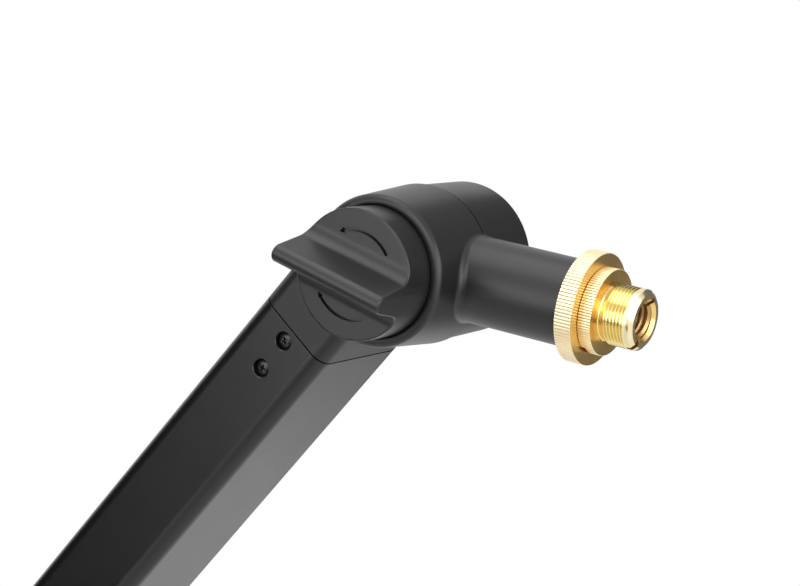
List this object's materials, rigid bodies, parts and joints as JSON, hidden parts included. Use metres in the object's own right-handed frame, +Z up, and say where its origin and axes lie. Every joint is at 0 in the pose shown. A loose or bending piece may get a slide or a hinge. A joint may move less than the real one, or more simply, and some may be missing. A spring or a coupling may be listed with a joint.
{
  "type": "microphone boom arm head",
  "caption": "Head end of a desktop microphone boom arm: rectangular arm tube, knob-clamped tilt barrel and a neck with a brass lock ring and microphone thread adapter.",
  "frame": {"origin": "centre of the elbow pivot bore, midway along it", "axes": "+X along the arm tube towards the tilt barrel, +Y away from the lock knob along the tilt and elbow axes, +Z up"},
  "size_m": [0.2873, 0.0684, 0.0815],
  "materials": {
    "tube_black": "satin black anodised and finely blasted",
    "moulded_black": "fine matt black moulding",
    "knob_black": "satin black moulding",
    "screw_black": "black oxide",
    "brass": "turned and polished",
    "steel": "zinc plated",
    "friction_fibre": "pressed fibre"
  },
  "bodies": {
    "arm": {"arm_tube": "tube_black", "head_fitting": "moulded_black", "head_screws": "screw_black", "head_inserts": "brass", "pivot_bolt": "steel", "rear_cap": "moulded_black", "friction_disc": "friction_fibre", "elbow_plug": "moulded_black", "elbow_screws": "screw_black", "elbow_inserts": "brass", "elbow_bush": "brass"},
    "swivel": {"swivel_head": "moulded_black", "pivot_bush": "brass", "thrust_washer": "steel", "stud_insert": "brass", "neck_stud": "steel"},
    "ring": {"lock_ring": "brass"},
    "adapter": {"thread_adapter": "brass"},
    "knob": {"lock_knob": "knob_black", "knob_nut": "brass", "spring_washer": "steel"}
  },
  "joints": [
    {"name": "head_tilt", "type": "hinge", "parent": "arm", "child": "swivel", "pos_m": [0.23, 0, -0.0082], "axis": [0, 1, 0], "range_deg": [-125, 75]},
    {"name": "knob_turn", "type": "hinge", "parent": "arm", "child": "knob", "pos_m": [0.23, 0, -0.0082], "axis": [0, -1, 0], "range_deg": [0, 90]},
    {"name": "ring_turn", "type": "hinge", "parent": "swivel", "child": "ring", "pos_m": [0.25843, -0.00175, -0.04957], "axis": [0.5664, 0, -0.8241], "continuous": true},
    {"name": "adapter_turn", "type": "hinge", "parent": "swivel", "child": "adapter", "pos_m": [0.26129, -0.00175, -0.05373], "axis": [0.5664, 0, -0.8241], "continuous": true}
  ]
}
